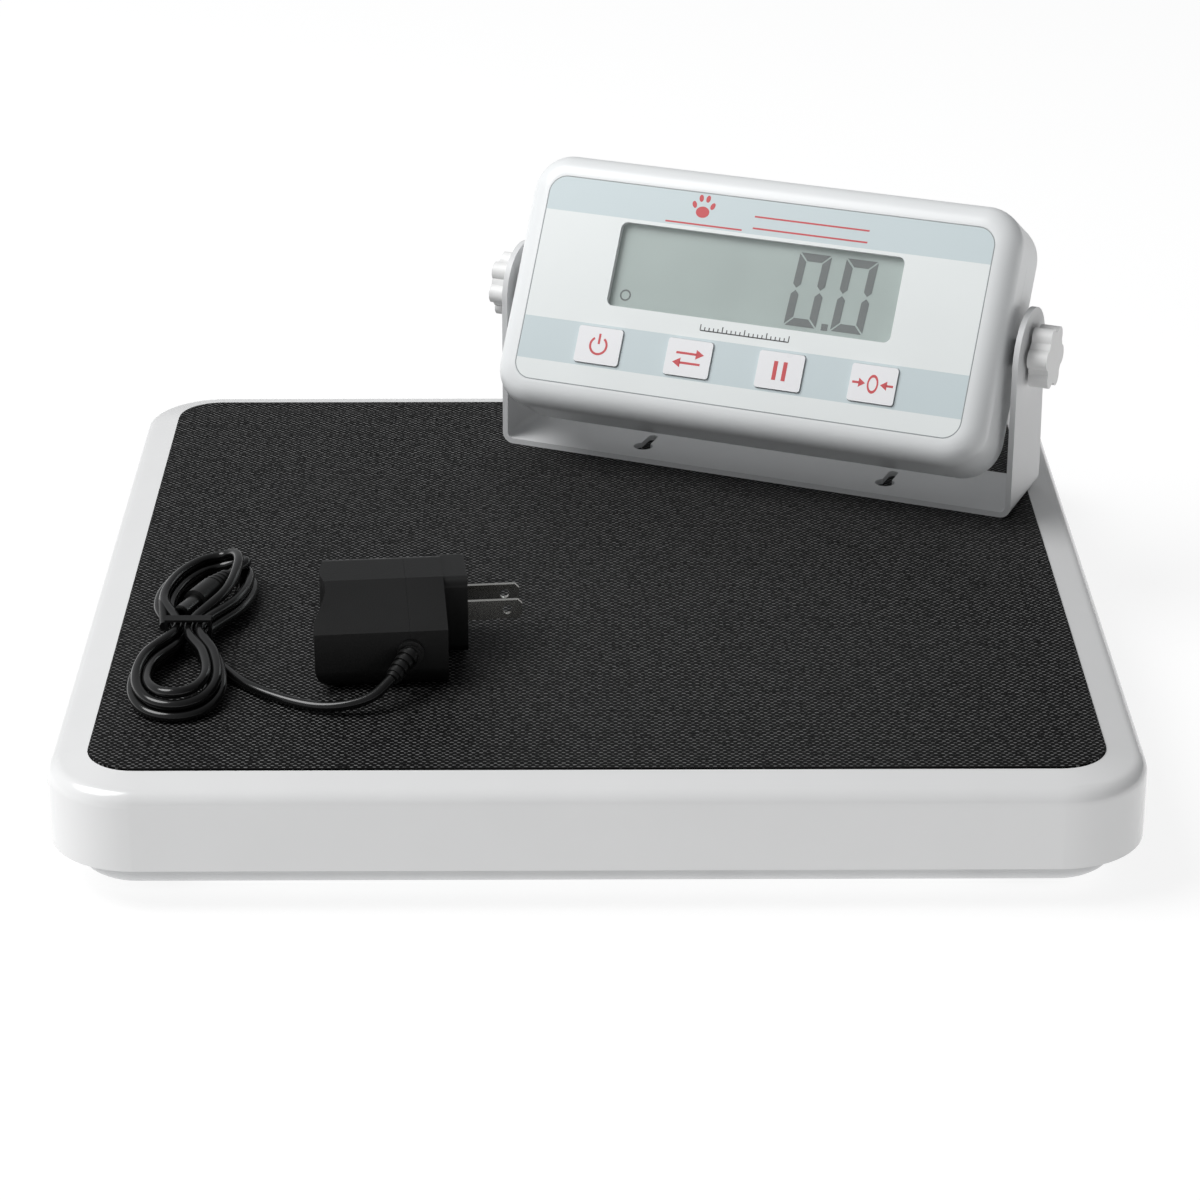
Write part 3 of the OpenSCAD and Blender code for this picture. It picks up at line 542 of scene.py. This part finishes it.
right_slots = ((1.9, 4.4), (4.7, 5.2), (3.6, 8.3), (0.2, 8.3), (0.2, 8.3))
sleeve_back = np.array((-121.5, -29.6, 8.6))
sleeve_way = np.array((-0.391, -0.921, 0.0))
bend_step = 6.6
settle_rounds = 60
push_share = 0.35
ease_share = 0.5


def smooth_line(points, cuts=40):
    """A smooth curve through the points, cut into pieces about as long as lead_step."""
    points = [np.array(point, float) for point in points]
    ends = [2 * points[0] - points[1], *points, 2 * points[-1] - points[-2]]
    line = []
    for a, b, c, d in zip(ends, ends[1:], ends[2:], ends[3:]):
        for t in np.linspace(0, 1, cuts, endpoint=False):
            line.append(0.5 * (2 * b + (c - a) * t + (2 * a - 5 * b + 4 * c - d) * t * t
                               + (3 * b - a - 3 * c + d) * t ** 3))
    line = np.array([*line, points[-1]])
    along = np.concatenate([[0], np.cumsum(np.linalg.norm(np.diff(line, axis=0), axis=1))])
    at = np.linspace(0, along[-1], round(along[-1] / lead_step) + 1)
    return np.stack([np.interp(at, along, line[:, k]) for k in range(3)], axis=1)


def wound_turns():
    """The hank as it is wound: up the left of the far loop, down its right, round the near loop.
    Each turn has its lane in the loops, and a slot on each side under the tie."""
    points = []
    for step in range(first_station, turns * stations + spare_stations + 1):
        turn, place = divmod(step, stations)
        angle = math.tau * place / stations
        up, out = math.sin(angle), math.cos(angle)
        start, end = left_slots[turn], right_slots[turn]
        if up < 0:
            start = left_slots[turn + 1]
        inset, lane_high = loop_lanes[turn]
        bulge, flare = swells[4 * place // stations]
        neck = (start[0] * (1 + out) + end[0] * (1 - out)) / 2
        wide = (neck + bulge * abs(up) ** flare) * (1 - inset / loop_width * abs(up))
        reach = (far_reach if up > 0 else near_reach) - inset
        high = lane_high * up * up + (start if out > 0 else end)[1] * out * out
        if turn == turns - 1 and up > 0 > out:
            high -= over_plug * math.sin(2 * angle)
        points.append((hank_x - wide * out + lean * max(up, 0) ** 2, tie_y + reach * up, high))
    return points


def settled(line, first, held):
    """Eases the wound cable until no turn lies in another. What comes before the first point that
    may move stays where it is, and so do the points held at the end."""
    order = np.arange(len(line))
    piece = np.linalg.norm(np.diff(line, axis=0), axis=1).mean()
    apart = np.abs(order[:, None] - order[None]) * piece > 2.2 * lead_d
    free = ((order >= first) & (order < len(line) - held)).astype(float)[:, None]
    moved = np.zeros_like(line)
    for _ in range(settle_rounds):
        here = line + moved
        gap = here[:, None] - here[None]
        far = np.linalg.norm(gap, axis=2) + 1e-9
        push = np.where(apart & (far < lead_d), (lead_d - far) / far, 0.0)
        moved += push_share * free * (push[:, :, None] * gap).sum(1)
        moved[1:-1] += ease_share * free[1:-1] * ((moved[:-2] + moved[2:]) / 2 - moved[1:-1])
        moved[:, 2] = np.maximum(moved[:, 2], lead_r - line[:, 2])
    return line + moved


last_bend = [sleeve_back - k * bend_step * sleeve_way for k in (2, 1, 0)]
line = smooth_line(lead_route + crossing + wound_turns() + last_bend)
loose_count = len(smooth_line(lead_route))
line = mm * settled(line, first=loose_count - 4, held=5)
line[:, 2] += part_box("mat")[1].z
route = bpy.data.curves.new("lead", "CURVE")
route.dimensions = "3D"
route.bevel_depth = mm * lead_r
route.bevel_resolution = 4
route.use_fill_caps = True
spline = route.splines.new("NURBS")
spline.points.add(len(line) - 1)
spline.points.foreach_set("co", np.hstack([line, np.ones((len(line), 1))]).ravel())
spline.order_u = 3
spline.use_endpoint_u = True
spline.resolution_u = 2
lead = bpy.data.objects.new("lead", route)
bpy.context.scene.collection.objects.link(lead)
vinyl = grain(finish("lead_vinyl", (0.004, 0.004, 0.004), 0.16, fade=0.8), 0.0012, 0.00001)
route.materials.append(vinyl)
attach(lead, "adapter")
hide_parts("lead_run", "lead_hank")

# Relief, tie and plug: a ribbed vinyl sleeve moulded on the lead, a plastic
# coated wire twisted round the hank, and a barrel plug in its own soft sleeve.
relief_vinyl = grain(finish("relief_vinyl", (0.006, 0.006, 0.006), 0.3, fade=0.8), 0.0006, 0.00004)
tie_coat = grain(finish("tie_coat", (0.004, 0.004, 0.004), 0.4), 0.0007, 0.00004)
shader_of(tie_coat).inputs["Specular IOR Level"].default_value = 0.25
barrel_plate = grain(finish("barrel_plate", (0.16, 0.16, 0.16), 0.25, metal=1.0), 0.002, 0.000004)
dress(relief_vinyl, "strain_relief", "plug_sleeve")
dress(tie_coat, "lead_tie")
dress(barrel_plate, "barrel_plug")
ease(0.0004, "lead_tie", "plug_sleeve")
ease(0.0002, "strain_relief")

# Studio: a wide white floor that glows like a lit table, a pale sky that is
# dimmer on the right, one round soft light high on the left, and the camera.
floor_side = 8.0
shape = bmesh.new()
for x, y in ((-1, -1), (1, -1), (1, 1), (-1, 1)):
    shape.verts.new((x * floor_side / 2, y * floor_side / 2, cad_box[0][2]))
shape.faces.new(shape.verts)
floor_mesh = bpy.data.meshes.new("floor")
shape.to_mesh(floor_mesh)
shape.free()
floor = bpy.data.objects.new("floor", floor_mesh)
bpy.context.scene.collection.objects.link(floor)
pale = finish("pale_floor", (0.22, 0.22, 0.22), 0.8, fade=0.995)
shader_of(pale).inputs["Specular IOR Level"].default_value = 0.0
shader_of(pale).inputs["Emission Color"].default_value = (1, 1, 1, 1)
shader_of(pale).inputs["Emission Strength"].default_value = 0.84
floor_mesh.materials.append(pale)

sky = bpy.data.worlds.new("sky")
sky.use_nodes = True
sky_shader = sky.node_tree.nodes["Background"]
sky_shader.inputs["Color"].default_value = (0.97, 0.985, 1.0, 1)
heading = add(sky, "TexCoord")
parts = add(sky, "SeparateXYZ")
link(sky, heading.outputs["Generated"], parts.inputs["Vector"])
fall = add(sky, "MapRange")
fall.inputs["From Min"].default_value = -1.0
fall.inputs["To Min"].default_value = 0.55
fall.inputs["To Max"].default_value = 0.07
link(sky, parts.outputs["X"], fall.inputs["Value"])
link(sky, fall.outputs["Result"], sky_shader.inputs["Strength"])
bpy.context.scene.world = sky
bpy.context.scene.view_settings.view_transform = "Standard"

key_place = Vector((-1.0, -0.15, 1.45))
key_lamp = bpy.data.lights.new("key_light", "AREA")
key_lamp.shape = "DISK"
key_lamp.size = 1.2
key_lamp.energy = 25
key_light = bpy.data.objects.new("key_light", key_lamp)
key_light.location = key_place
key_light.rotation_euler = (-key_place).to_track_quat("-Z", "Y").to_euler()
bpy.context.scene.collection.objects.link(key_light)

camera_place = (-0.007125, -1.1251, 0.5282)
camera_dip = 0.418
camera_turn = 0.008
camera_roll = -0.001
ahead = Vector((math.sin(camera_turn), math.cos(camera_turn), 0))
right = Vector((math.cos(camera_turn), -math.sin(camera_turn), 0))
look = math.cos(camera_dip) * ahead - math.sin(camera_dip) * Vector((0, 0, 1))
down = look.cross(right)
across = math.cos(camera_roll) * right + math.sin(camera_roll) * down
below = math.cos(camera_roll) * down - math.sin(camera_roll) * right
lens = bpy.data.cameras.new("camera")
lens.lens = 108
lens.sensor_width = 36
camera = bpy.data.objects.new("camera", lens)
camera_axes = Matrix((across, -below, -look)).transposed().to_4x4()
camera.matrix_world = Matrix.Translation(camera_place) @ camera_axes
bpy.context.scene.collection.objects.link(camera)
bpy.context.scene.camera = camera

import json
